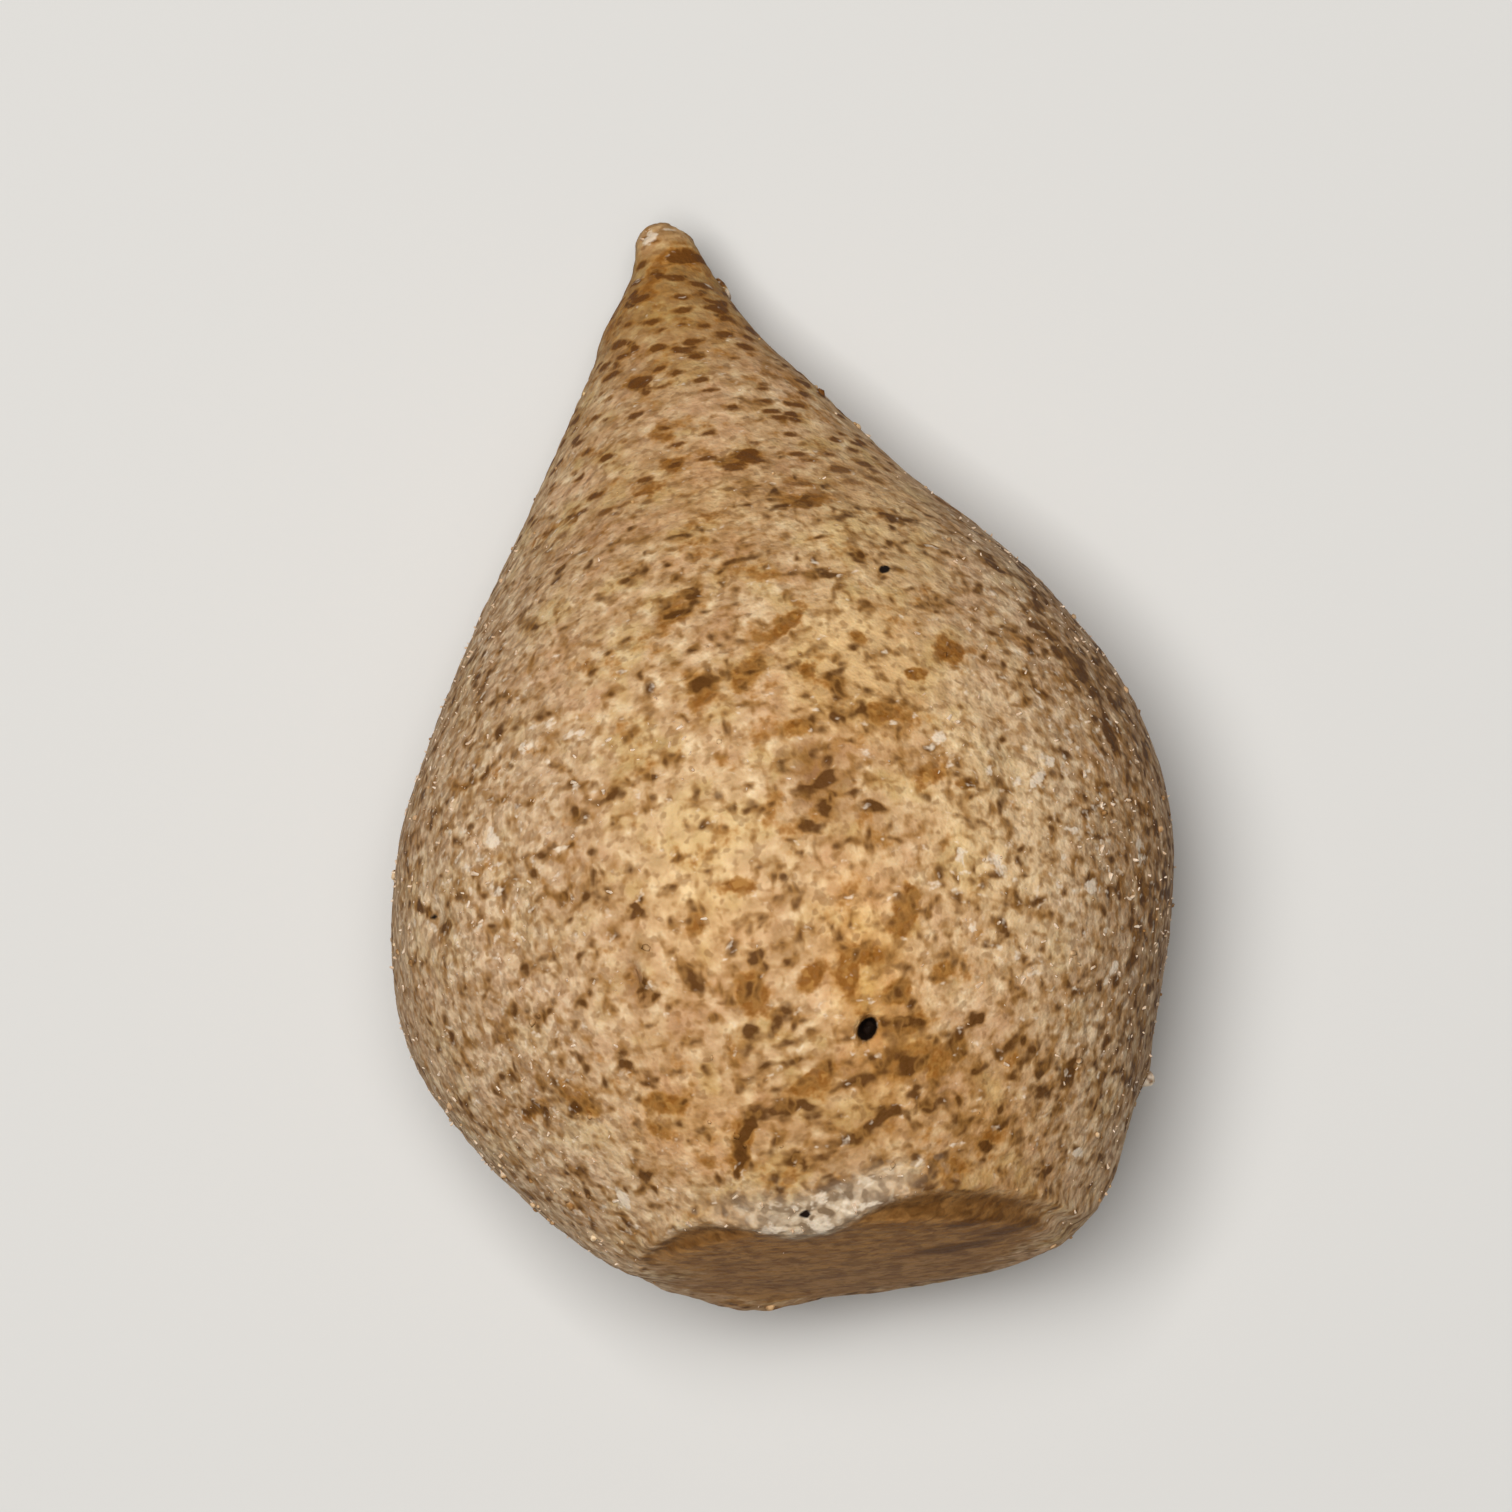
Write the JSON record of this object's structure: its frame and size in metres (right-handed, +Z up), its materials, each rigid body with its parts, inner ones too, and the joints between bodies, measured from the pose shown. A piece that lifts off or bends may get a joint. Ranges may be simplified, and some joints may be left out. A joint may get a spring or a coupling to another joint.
{
  "type": "kibbeh",
  "caption": "Raw frozen kibbeh: a hand-shaped teardrop of cracked-wheat dough with a flat end and a drawn-out point, lying on its side.",
  "frame": {"origin": "on the floor, below the middle of the piece's box", "axes": "+Y from the flat end towards the point, +X to the right seen from above with the point away, +Z up"},
  "size_m": [0.0472, 0.066, 0.0461],
  "materials": {
    "frozen_dough": "matte"
  },
  "bodies": {
    "root": {"kibbeh": "frozen_dough"}
  },
  "joints": []
}
